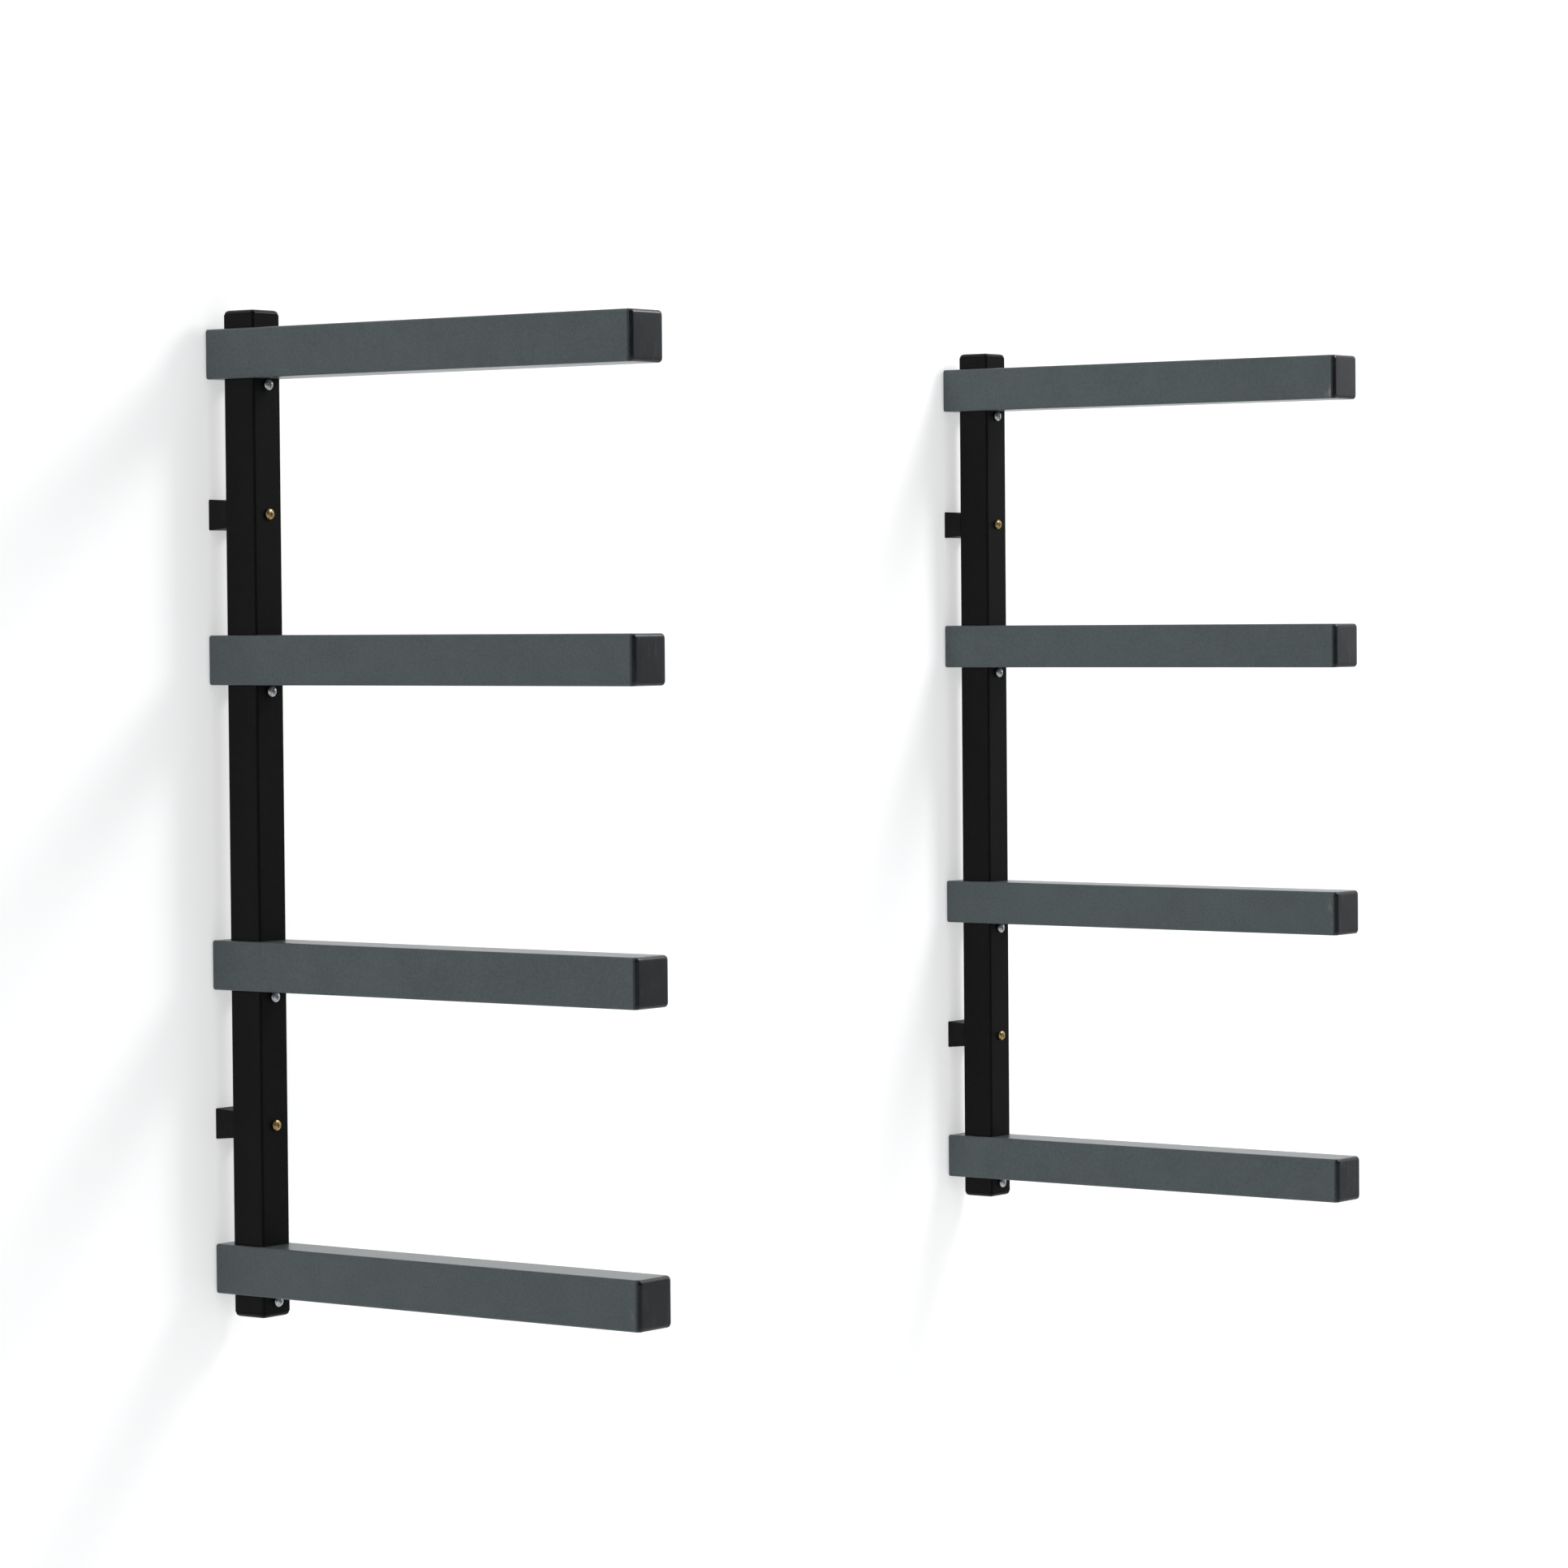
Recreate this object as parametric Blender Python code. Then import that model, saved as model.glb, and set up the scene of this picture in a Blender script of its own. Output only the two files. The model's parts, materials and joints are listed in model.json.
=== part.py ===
"""Wall rack for tyres: two uprights, each a post with four lift-off cantilever arms.

Frame: +X along the wall, the wall is the plane y = 0, the arms point to -Y, +Z is up.
The origin is on the wall, midway between the posts and halfway up them. Units are metres.
"""

import math

import bpy

# Overall layout
UPRIGHT_SPACING = 1.295  # between the centre lines of the two posts
POST_LENGTH = 1.000
ARM_COUNT = 4
ARM_LENGTH = 0.537  # tube only, without its end cap
TOP_ARM_DROP = 0.014  # top end of the post tube down to the top face of the highest arm
LOW_ARM_RISE = 0.018  # bottom end of the post tube up to the underside of the lowest arm

# Steel tubes
POST_WIDTH = 0.040
POST_WALL = 0.002
ARM_SIDE_MARGIN = 0.005  # how far the arm stands out past the post on each side
ARM_HEIGHT = 0.050
ARM_WALL = 0.002
TUBE_CORNER = 0.0025
LEAST_CORNER = 0.0005  # of any inside corner
ARM_BACK_EDGE = 0.002  # rounding of the arm's closed back end
ARM_WALL_GAP = 0.002  # back of the arm to the wall
SLIDE_CLEARANCE = 0.0006  # post to the edge of the arm's square hole, each side

# Plastic plugs in the tube ends
POST_CAP_FLANGE = 0.0045
ARM_CAP_FLANGE = 0.005
CAP_EDGE = 0.0035
CAP_EDGE_SHARE = 0.9  # most of the flange that its round edge may take
ARM_CAP_INSERT = 0.014
POST_CAP_CLEAR = 0.0007  # inner end of a post plug to the lowest stop bolt
CAP_INSERT_WALL = 0.0022
CAP_INSERT_CORNER = 0.0008

# Stop bolts that the arms rest on, with their nuts
BOLT_DIAMETER = 0.006
BOLT_HEAD_DIAMETER = 0.012
BOLT_HEAD_HEIGHT = 0.0046
BOLT_TIP = 0.0044  # thread that shows beyond the nut
BOLT_CHAMFER = 0.0008
BOLT_END = 0.85  # of the thread's diameter
NUT_ACROSS_FLATS = 0.010
NUT_HEIGHT = 0.005

# Pan heads, as shares of the head's diameter or height
HEAD_SIDE = 0.3  # straight part of the side, of the height
HEAD_CROWN = 0.2  # reach of the rounding over the edge, of the diameter
RECESS_WIDTH = 0.54  # across the cross recess, of the diameter
RECESS_SLOT = 0.13  # width of its slots, of the diameter
RECESS_DEPTH = 0.6  # of the height
RECESS_FLOOR = 0.45  # size of its floor against its mouth

# Wall screws and the spacers that they pass through
SCREW_DIAMETER = 0.006
SCREW_HEAD_DIAMETER = 0.0116
SCREW_HEAD_HEIGHT = 0.0042
SCREW_IN_WALL = 0.045
SCREW_POINT = 0.008
SCREW_END = 0.1  # of the thread's diameter
SCREW_DROP = 0.0073  # screw below the middle of the space between two arms
SPACER_DEPTH = 0.022  # back of the post to the wall
SPACER_WIDTH = 0.040
SPACER_HEIGHT = 0.031
SPACER_DRAFT = 0.0018  # taper of each side from the wall to the post
SPACER_WALL = 0.003
SPACER_CORNER = 0.0015
SPACER_BOSS = 0.004  # wall of the tube round the screw

# Fits
FACE_GAP = 0.0003  # between faces that touch
PLUG_CLEARANCE = 0.0003
HOLE_CLEARANCE = 0.0004
CUTTER_LIFT = 0.001  # how far a recess's cutter stands out of the face that it cuts

# Fineness of the round shapes
CORNER_STEPS = 3
ROUND_POINTS = 4 * (CORNER_STEPS + 1)  # as many as a rectangle with round corners
HEXAGON_POINTS = 12
HEAD_STEPS = 3

# Worked out from the sizes above
ARM_WIDTH = POST_WIDTH + 2 * ARM_SIDE_MARGIN
ARM_PITCH = (POST_LENGTH - TOP_ARM_DROP - LOW_ARM_RISE - ARM_HEIGHT) / (ARM_COUNT - 1)
POST_Y = -(SPACER_DEPTH + POST_WIDTH / 2)
ARM_BACK = -POST_Y - ARM_WALL_GAP  # behind the post's axis
ARM_FRONT = ARM_LENGTH - ARM_BACK  # in front of the post's axis
BOLT_UNDER_ARM = FACE_GAP + BOLT_HEAD_DIAMETER / 2
POST_CAP_INSERT = LOW_ARM_RISE - BOLT_UNDER_ARM - BOLT_DIAMETER / 2 - POST_CAP_CLEAR

COLOURS = {
    "post_black": ((0.011, 0.011, 0.011, 1.0), 0.45, 0.0),
    "arm_grey": ((0.075, 0.088, 0.090, 1.0), 0.38, 0.0),
    "cap_plastic": ((0.024, 0.025, 0.028, 1.0), 0.42, 0.0),
    "spacer_plastic": ((0.018, 0.018, 0.015, 1.0), 0.55, 0.0),
    "zinc": ((0.62, 0.63, 0.64, 1.0), 0.28, 1.0),
    "yellow_zinc": ((0.60, 0.42, 0.18, 1.0), 0.30, 1.0),
}


def clear_scene():
    for obj in list(bpy.data.objects):
        bpy.data.objects.remove(obj, do_unlink=True)


def material(name):
    """The Principled material of this name, made on its first use."""
    found = bpy.data.materials.get(name)
    if found:
        return found
    colour, roughness, metallic = COLOURS[name]
    made = bpy.data.materials.new(name)
    made.use_nodes = True
    shader = made.node_tree.nodes["Principled BSDF"]
    shader.inputs["Base Color"].default_value = colour
    shader.inputs["Roughness"].default_value = roughness
    shader.inputs["Metallic"].default_value = metallic
    made.diffuse_color = colour
    return made


def circle(radius, count=ROUND_POINTS, turn=0.5):
    """Points of a circle. The first lies half a step past +X, so that a rectangle's points face them."""
    angles = [(i + turn) * 2 * math.pi / count for i in range(count)]
    return [(radius * math.cos(angle), radius * math.sin(angle)) for angle in angles]


def rounded_rectangle(width, height, radius, steps=CORNER_STEPS):
    """Points of a rectangle with round corners, anticlockwise from its first corner."""
    points = []
    for quarter, (right, up) in enumerate(((1, 1), (-1, 1), (-1, -1), (1, -1))):
        centre_x = right * (width / 2 - radius)
        centre_y = up * (height / 2 - radius)
        for step in range(steps + 1):
            angle = (quarter + step / steps) * math.pi / 2
            points.append(
                (
                    centre_x + radius * math.cos(angle),
                    centre_y + radius * math.sin(angle),
                )
            )
    return points


def hexagon(across_flats):
    """The corners of a hexagon and the middles of its sides. Two sides face up and down."""
    middle = across_flats / 2
    corner = middle / math.cos(math.pi / 6)
    points = []
    for i in range(HEXAGON_POINTS):
        reach = middle if i % 2 else corner
        angle = i * 2 * math.pi / HEXAGON_POINTS
        points.append((reach * math.cos(angle), reach * math.sin(angle)))
    return points


def ring_mesh(name, rings, looped=False):
    """A closed mesh through rings of points, each ring (points, z). Looped joins the last ring to the
    first, as in a tube; otherwise both ends are capped. The rings run so that the faces point out."""
    count = len(rings[0][0])
    vertices = [(x, y, z) for points, z in rings for x, y in points]
    faces = []
    pairs = len(rings) if looped else len(rings) - 1
    for ring in range(pairs):
        low, high = ring * count, ((ring + 1) % len(rings)) * count
        for i in range(count):
            after = (i + 1) % count
            faces.append((low + i, low + after, high + after, high + i))
    if not looped:
        last = (len(rings) - 1) * count
        faces.append(tuple(reversed(range(count))))
        faces.append(tuple(range(last, last + count)))
    mesh = bpy.data.meshes.new(name)
    mesh.from_pydata(vertices, [], faces)
    mesh.validate()
    mesh.update()
    return mesh


def new_object(name, mesh, location=(0, 0, 0), rotation=(0, 0, 0), parent=None):
    obj = bpy.data.objects.new(name, mesh)
    bpy.context.scene.collection.objects.link(obj)
    obj.location = location
    obj.rotation_euler = rotation
    obj.parent = parent
    return obj


def cut(mesh, cutters):
    """The mesh with each cutter taken out of it. A cutter is (mesh, location, rotation)."""
    body = new_object("cut_body", mesh)
    tools = []
    for cutter, location, rotation in cutters:
        tool = new_object("cutter", cutter, location, rotation)
        tool.hide_render = True
        tool.display_type = "WIRE"
        modifier = body.modifiers.new("cut", "BOOLEAN")
        modifier.operation = "DIFFERENCE"
        modifier.solver = "EXACT"
        modifier.object = tool
        tools.append(tool)
    bpy.context.view_layer.update()
    graph = bpy.context.evaluated_depsgraph_get()
    result = bpy.data.meshes.new_from_object(body.evaluated_get(graph))
    result.name = mesh.name
    for obj in [body, *tools]:
        bpy.data.objects.remove(obj, do_unlink=True)
    return result


def finish(mesh, material_name, smooth_angle=None):
    """Gives the mesh its material and, where it has round faces, smooth shading."""
    mesh.materials.clear()
    mesh.materials.append(material(material_name))
    if smooth_angle:
        mesh.shade_smooth()
        mesh.set_sharp_from_angle(angle=math.radians(smooth_angle))
    return mesh


def arm_top(number):
    """Height of the top face of arm 1, the highest, to arm ARM_COUNT, the lowest."""
    return POST_LENGTH / 2 - TOP_ARM_DROP - (number - 1) * ARM_PITCH


def stop_bolt_height(number):
    """The arm above rests on the head, so the head is its radius below the arm."""
    return arm_top(number) - ARM_HEIGHT - BOLT_UNDER_ARM


def wall_screw_height(number):
    """Just below the middle of the space under the arm of this number."""
    gap_top = arm_top(number) - ARM_HEIGHT
    gap_bottom = arm_top(number + 1)
    return (gap_top + gap_bottom) / 2 - SCREW_DROP


SCREW_PLACES = (("upper", 1), ("lower", ARM_COUNT - 1))


def tube_rings(width, height, wall, low, high):
    """Rings of an open square tube from low to high: outside up, inside down."""
    outer = rounded_rectangle(width, height, TUBE_CORNER)
    inner_corner = max(TUBE_CORNER - wall, LEAST_CORNER)
    inner = rounded_rectangle(width - 2 * wall, height - 2 * wall, inner_corner)
    return [(outer, low), (outer, high), (inner, high), (inner, low)]


def post_mesh():
    """Square tube with a cross hole for each stop bolt and each wall screw."""
    half = POST_LENGTH / 2
    tube = ring_mesh("post", tube_rings(POST_WIDTH, POST_WIDTH, POST_WALL, -half, half), looped=True)
    across = POST_WIDTH
    bolt_hole = round_cutter("bolt_hole", BOLT_DIAMETER / 2 + HOLE_CLEARANCE, across)
    screw_hole = round_cutter("screw_hole", SCREW_DIAMETER / 2 + HOLE_CLEARANCE, across)
    along_y = (math.pi / 2, 0, 0)
    cutters = [
        (bolt_hole, (0, 0, stop_bolt_height(n)), along_y) for n in range(1, ARM_COUNT + 1)
    ]
    cutters += [
        (screw_hole, (0, 0, wall_screw_height(n)), along_y) for _, n in SCREW_PLACES
    ]
    return finish(cut(tube, cutters), "post_black", 40)


def round_cutter(name, radius, half_length):
    outline = circle(radius)
    return ring_mesh(name, [(outline, -half_length), (outline, half_length)])


def arm_mesh():
    """Square tube with a closed, rounded back end and a square hole down through it for the post.
    It is drawn along +Z from its back end, with the post's axis at z = 0."""
    inner_corner = max(TUBE_CORNER - ARM_WALL, LEAST_CORNER)
    inner = rounded_rectangle(ARM_WIDTH - 2 * ARM_WALL, ARM_HEIGHT - 2 * ARM_WALL, inner_corner)
    rings = []
    for step in range(CORNER_STEPS + 1):
        angle = step / CORNER_STEPS * math.pi / 2
        inset = ARM_BACK_EDGE * (1 - math.sin(angle))
        outline = rounded_rectangle(ARM_WIDTH - 2 * inset, ARM_HEIGHT - 2 * inset, TUBE_CORNER - inset / 2)
        rings.append((outline, -ARM_BACK + ARM_BACK_EDGE * (1 - math.cos(angle))))
    rings.append((rounded_rectangle(ARM_WIDTH, ARM_HEIGHT, TUBE_CORNER), ARM_FRONT))
    rings.append((inner, ARM_FRONT))
    rings.append((inner, -ARM_BACK + ARM_WALL))
    hole_width = POST_WIDTH + 2 * SLIDE_CLEARANCE
    outline = rounded_rectangle(hole_width, hole_width, TUBE_CORNER + SLIDE_CLEARANCE)
    hole = ring_mesh("post_hole", [(outline, -ARM_HEIGHT), (outline, ARM_HEIGHT)])
    arm = cut(ring_mesh("arm", rings), [(hole, (0, 0, 0), (math.pi / 2, 0, 0))])
    return finish(arm, "arm_grey", 40)


def plug_mesh(name, width, height, wall, flange, insert_depth):
    """Tube plug drawn along +Z: a hollow insert below z = 0 and a flange with a round edge above it."""
    insert_width = width - 2 * wall - 2 * PLUG_CLEARANCE
    insert_height = height - 2 * wall - 2 * PLUG_CLEARANCE
    hollow_width = insert_width - 2 * CAP_INSERT_WALL
    hollow_height = insert_height - 2 * CAP_INSERT_WALL
    insert = rounded_rectangle(insert_width, insert_height, CAP_INSERT_CORNER)
    hollow = rounded_rectangle(hollow_width, hollow_height, CAP_INSERT_CORNER)
    rings = [
        (hollow, FACE_GAP),
        (hollow, -insert_depth),
        (insert, -insert_depth),
        (insert, FACE_GAP),
    ]
    edge = min(CAP_EDGE, flange * CAP_EDGE_SHARE)
    for step in range(CORNER_STEPS + 1):
        angle = step / CORNER_STEPS * math.pi / 2
        inset = edge * (1 - math.cos(angle))
        outline = rounded_rectangle(width - 2 * inset, height - 2 * inset, TUBE_CORNER)
        if step == 0:
            rings.append((outline, FACE_GAP))
        rings.append((outline, flange - edge * (1 - math.sin(angle))))
    return finish(ring_mesh(name, rings), "cap_plastic", 40)


def cross_cutter(width, slot, depth):
    """Cross recess: a plus sign that narrows downwards from z = 0."""
    half, arm = slot / 2, width / 2
    plus = [
        (arm, -half), (arm, half), (half, half), (half, arm), (-half, arm), (-half, half),
        (-arm, half), (-arm, -half), (-half, -half), (-half, -arm), (half, -arm), (half, -half),
    ]
    bottom = [(x * RECESS_FLOOR, y * RECESS_FLOOR) for x, y in plus]
    mouth = 1 + (1 - RECESS_FLOOR) * CUTTER_LIFT / depth
    grown = [(x * mouth, y * mouth) for x, y in plus]
    return ring_mesh("cross", [(bottom, -depth), (grown, CUTTER_LIFT)])


def head_rings(diameter, height, shank_radius):
    """Rings of a pan head from the shank out, round and over to its flat top."""
    side = height * HEAD_SIDE
    crown = diameter * HEAD_CROWN
    rings = [(circle(shank_radius), 0.0), (circle(diameter / 2), 0.0)]
    for step in range(HEAD_STEPS + 1):
        angle = step / HEAD_STEPS * math.pi / 2
        radius = diameter / 2 - crown * (1 - math.cos(angle))
        rings.append((circle(radius), side + (height - side) * math.sin(angle)))
    return rings


def bolt_mesh(name, shank, head_diameter, head_height, length, point, end, material_name):
    """Pan head with a cross recess, seated at z = 0, and a shank down to z = -length. Over its last
    stretch, point long, the shank narrows to end times its diameter."""
    radius = shank / 2
    rings = [(circle(radius * end), -length), (circle(radius), -length + point)]
    rings += head_rings(head_diameter, head_height, radius)
    recess = cross_cutter(
        head_diameter * RECESS_WIDTH, head_diameter * RECESS_SLOT, head_height * RECESS_DEPTH
    )
    body = cut(ring_mesh(name, rings), [(recess, (0, 0, head_height), (0, 0, 0))])
    return finish(body, material_name, 35)


def nut_mesh():
    """Hexagon nut drawn along +Z from z = 0."""
    outer = hexagon(NUT_ACROSS_FLATS)
    hole = circle(BOLT_DIAMETER / 2 + HOLE_CLEARANCE, HEXAGON_POINTS, turn=0)
    rings = [(outer, 0.0), (outer, NUT_HEIGHT), (hole, NUT_HEIGHT), (hole, 0.0)]
    return finish(ring_mesh("nut", rings, looped=True), "zinc")


def spacer_mesh():
    """Tapered block drawn along +Z from the post to the wall, hollow from the wall side round a tube
    for the screw."""
    depth = SPACER_DEPTH - FACE_GAP

    def outline(inset):
        corner = max(SPACER_CORNER - inset / 2, LEAST_CORNER)
        return rounded_rectangle(SPACER_WIDTH - 2 * inset, SPACER_HEIGHT - 2 * inset, corner)

    hole_radius = SCREW_DIAMETER / 2 + HOLE_CLEARANCE
    hole = circle(hole_radius)
    boss = circle(hole_radius + SPACER_BOSS)
    pocket_inset = SPACER_WALL + SPACER_DRAFT * (depth - SPACER_WALL) / depth
    rings = [
        (outline(SPACER_DRAFT), 0.0),
        (outline(0.0), depth),
        (outline(SPACER_WALL), depth),
        (outline(pocket_inset), SPACER_WALL),
        (boss, SPACER_WALL),
        (boss, depth),
        (hole, depth),
        (hole, 0.0),
    ]
    return finish(ring_mesh("spacer", rings, looped=True), "spacer_plastic", 40)


def build_meshes():
    bolt_length = POST_WIDTH + FACE_GAP + NUT_HEIGHT + FACE_GAP + BOLT_TIP
    screw_length = POST_WIDTH + FACE_GAP + SPACER_DEPTH + SCREW_IN_WALL
    return {
        "post": post_mesh(),
        "post_cap": plug_mesh(
            "post_cap", POST_WIDTH, POST_WIDTH, POST_WALL, POST_CAP_FLANGE, POST_CAP_INSERT
        ),
        "arm": arm_mesh(),
        "arm_cap": plug_mesh("arm_cap", ARM_WIDTH, ARM_HEIGHT, ARM_WALL, ARM_CAP_FLANGE, ARM_CAP_INSERT),
        "bolt": bolt_mesh(
            "stop_bolt",
            BOLT_DIAMETER,
            BOLT_HEAD_DIAMETER,
            BOLT_HEAD_HEIGHT,
            bolt_length,
            BOLT_CHAMFER,
            BOLT_END,
            "zinc",
        ),
        "nut": nut_mesh(),
        "screw": bolt_mesh(
            "wall_screw",
            SCREW_DIAMETER,
            SCREW_HEAD_DIAMETER,
            SCREW_HEAD_HEIGHT,
            screw_length,
            SCREW_POINT,
            SCREW_END,
            "yellow_zinc",
        ),
        "spacer": spacer_mesh(),
    }


def build_upright(side, x, meshes):
    """One post with all that is on it. Its empty stands on the post's axis."""
    upright = new_object(f"{side}_upright", None, (x, POST_Y, 0))
    to_front = (math.pi / 2, 0, 0)  # turns +Z to -Y
    to_wall = (-math.pi / 2, 0, 0)  # turns +Z to +Y
    half = POST_LENGTH / 2
    new_object(f"{side}_post", meshes["post"], parent=upright)
    new_object(f"{side}_post_top_cap", meshes["post_cap"], (0, 0, half), parent=upright)
    upside_down = (math.pi, 0, 0)
    new_object(f"{side}_post_bottom_cap", meshes["post_cap"], (0, 0, -half), upside_down, upright)
    front_face = -POST_WIDTH / 2 - FACE_GAP
    back_face = POST_WIDTH / 2 + FACE_GAP
    for number in range(1, ARM_COUNT + 1):
        middle = arm_top(number) - ARM_HEIGHT / 2
        arm = new_object(f"{side}_arm_{number}", meshes["arm"], (0, 0, middle), to_front, upright)
        new_object(f"{side}_arm_{number}_end_cap", meshes["arm_cap"], (0, 0, ARM_FRONT), parent=arm)
        bolt_z = stop_bolt_height(number)
        new_object(
            f"{side}_stop_bolt_{number}", meshes["bolt"], (0, front_face, bolt_z), to_front, upright
        )
        new_object(f"{side}_stop_nut_{number}", meshes["nut"], (0, back_face, bolt_z), to_wall, upright)
    for place, number in SCREW_PLACES:
        screw_z = wall_screw_height(number)
        new_object(
            f"{side}_{place}_wall_screw", meshes["screw"], (0, front_face, screw_z), to_front, upright
        )
        new_object(
            f"{side}_{place}_wall_spacer", meshes["spacer"], (0, back_face, screw_z), to_wall, upright
        )


def main():
    clear_scene()
    meshes = build_meshes()
    for side, direction in (("left", -1), ("right", 1)):
        build_upright(side, direction * UPRIGHT_SPACING / 2, meshes)


main()
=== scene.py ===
"""Looks of the wall tyre rack: two uprights, each a post with four lift-off arms.

Every piece is built in mesh code to fit the box of the CAD node that it stands for, and rides on
that node's body. Units are metres. +X runs along the wall, +Y into it and +Z up, and the arms point
to -Y.
"""

import json
import math

import bmesh
import bpy
from mathutils import Matrix, Vector

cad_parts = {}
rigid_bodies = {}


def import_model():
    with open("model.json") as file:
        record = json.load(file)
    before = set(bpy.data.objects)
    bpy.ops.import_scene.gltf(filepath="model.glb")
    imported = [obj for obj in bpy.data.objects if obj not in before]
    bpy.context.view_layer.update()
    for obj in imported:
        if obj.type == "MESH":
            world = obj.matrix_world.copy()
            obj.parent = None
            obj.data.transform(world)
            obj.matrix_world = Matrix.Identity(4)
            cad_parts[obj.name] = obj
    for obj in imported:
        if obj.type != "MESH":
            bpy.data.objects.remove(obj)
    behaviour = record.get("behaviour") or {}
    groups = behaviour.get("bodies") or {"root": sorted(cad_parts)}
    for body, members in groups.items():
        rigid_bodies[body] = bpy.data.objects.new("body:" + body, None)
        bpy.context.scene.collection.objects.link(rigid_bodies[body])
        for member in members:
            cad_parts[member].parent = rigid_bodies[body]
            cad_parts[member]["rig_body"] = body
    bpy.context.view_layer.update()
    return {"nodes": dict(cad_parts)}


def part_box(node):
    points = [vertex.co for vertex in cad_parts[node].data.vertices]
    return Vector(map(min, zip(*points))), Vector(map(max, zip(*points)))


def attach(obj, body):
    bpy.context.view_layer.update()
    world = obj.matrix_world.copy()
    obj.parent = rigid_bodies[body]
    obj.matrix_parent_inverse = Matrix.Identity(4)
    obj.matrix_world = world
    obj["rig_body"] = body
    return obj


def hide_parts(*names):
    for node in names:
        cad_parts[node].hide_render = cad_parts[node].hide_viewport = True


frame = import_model()

ARM_COUNT = 4
SIDES = ("left", "right")
SCREW_PLACES = ("upper", "lower")

# Steel tubes
TUBE_WALL = 0.002
TUBE_CORNER = 0.0025
INNER_CORNER = 0.0008
CUT_EDGE = 0.0003  # broken edge of a sawn tube end or a cut hole
CORNER_STEPS = 6
ARM_BACK_EDGE = 0.002  # rounding of the arm's closed back end
ARM_BACK_DOME = 0.0012  # how far the middle of that end stands out
SLIDE_CLEARANCE = 0.0006  # post to the edge of the arm's square hole, each side
HOLE_CLEARANCE = 0.0004
CUTTER_PAST = 0.001  # how far a cutter runs past the faces that it cuts
DOUBLED = 0.000004  # points nearer than this are one
DOME_RINGS = (0.25, 0.5, 0.75)  # of the half width of a shallow dome
SHARP_FROM = 32  # degrees between faces
FACE_GAP = 0.0003  # between a face and what the CAD seats on it

# Plastic plugs
PLUG_CORNER = 0.0042
ARM_PLUG_EDGE = 0.0038  # rounding of the rim, seen from the end
POST_PLUG_EDGE = 0.0048
PLUG_CROWN = 0.00015  # how far the middle of the face stands out
PLUG_FACE_RINGS = (0.9, 0.7, 0.45, 0.2)  # of the face's half width
PLUG_CLEARANCE = 0.0003  # insert to the inside of the tube, each side
PLUG_SEAT = 0.00005  # underside of the flange to the end of the tube
PLUG_WALL = 0.0022
PLUG_LEAD = 0.0008  # length of the taper that leads the insert in
PLUG_BROKEN_EDGE = 0.0002  # under the flange
FIN_HEIGHT = 0.00022
FIN_COUNT = 3
FIN_STOPS = ((0.0, 0.0), (0.35, 1.0), (0.5, 1.0), (0.55, 0.0))  # shares of the pitch, the height
RIM_STEPS = 8

# Fasteners
ROUND_POINTS = 32
BOLT_DIAMETER = 0.006
BOLT_THREAD = 0.026
BOLT_PITCH = 0.001
BOLT_CORE = 0.82  # of the thread's diameter
BOLT_RUN_IN = 0.0006  # between the plain shank and the thread
BOLT_CHAMFER = 0.0006
BOLT_END = 0.76  # of the thread's diameter
BOLT_FADE = 0.0012  # over which the crest grows at the ends of the thread
SCREW_DIAMETER = 0.006
SCREW_SHANK = 0.0052
SCREW_CORE = 0.0042
SCREW_THREAD = 0.060
SCREW_PITCH = 0.0028
SCREW_RUN_IN = 0.002
SCREW_POINT = 0.009
SCREW_TIP, SCREW_TIP_RADIUS = 0.0002, 0.00005
SCREW_FADE = 0.003
THREAD_POINTS = 16  # round the thread, and along each turn of it
CREST_HALF = 0.32  # half the crest's foot, of the pitch
POINT_END = 0.06  # radius of a point's last ring, of the thread's
SHAFT_OVERLAP = 0.0006  # how far the shaft is sunk in the head
SHAFT_RING = 0.0004  # from the head to the shaft's next ring
HEAD_EDGE = 0.0003  # broken edge under the head
HEAD_SIDE = 0.26  # straight part of the side, of the head's height
HEAD_SHOULDER = 0.9  # where the crown begins, of the head's height
HEAD_CROWN = 0.42  # reach of the rounding over the edge, of the head's radius
HEAD_SHARP_FROM = 38
RECESS_WIDTH = 1.12  # of the head's radius
RECESS_SLOT = 0.24  # of the head's radius
RECESS_DEPTH = 0.62  # of the head's height
RECESS_STOPS = ((1.0, 0.4, 0.55), (0.45, 0.72, 0.8))  # shares of the depth, the width, the slot
RECESS_FILLET = 1.35  # inner corner of the cross, in half slots
NUT_POINTS = 48
NUT_BORE_PLAY = 0.00012
NUT_MOUTH = 0.0006  # how far the bore widens at its mouths
NUT_MOUTH_DEPTH = 0.0005
NUT_TURNED = 0.95  # flat ring on each face, of the size across flats
NUT_CHAMFER = 30  # degrees
NUT_SHARP_FROM = 25

# Spacers
SPACER_DRAFT = 0.0018  # how much narrower it is at the post, each side
SPACER_EDGE = 0.0006
SPACER_CORNER = 0.0016
SPACER_WALL = 0.0028
SPACER_RIB = 0.0018
SPACER_FLOOR = 0.003  # thickness on the post's side
SPACER_BOSS = 0.0032  # wall of the tube round the screw
SPACER_PAST = 0.002  # how far its cutters run past it
POCKET_CORNER = 0.001
POCKET_DRAFT = 0.8  # of the spacer's own
BOSS_STEPS = 8


# ---------------------------------------------------------------- outlines and meshes


def circle(radius, count=ROUND_POINTS):
    angles = [2 * math.pi * i / count for i in range(count)]
    return [(radius * math.cos(angle), radius * math.sin(angle)) for angle in angles]


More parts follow.
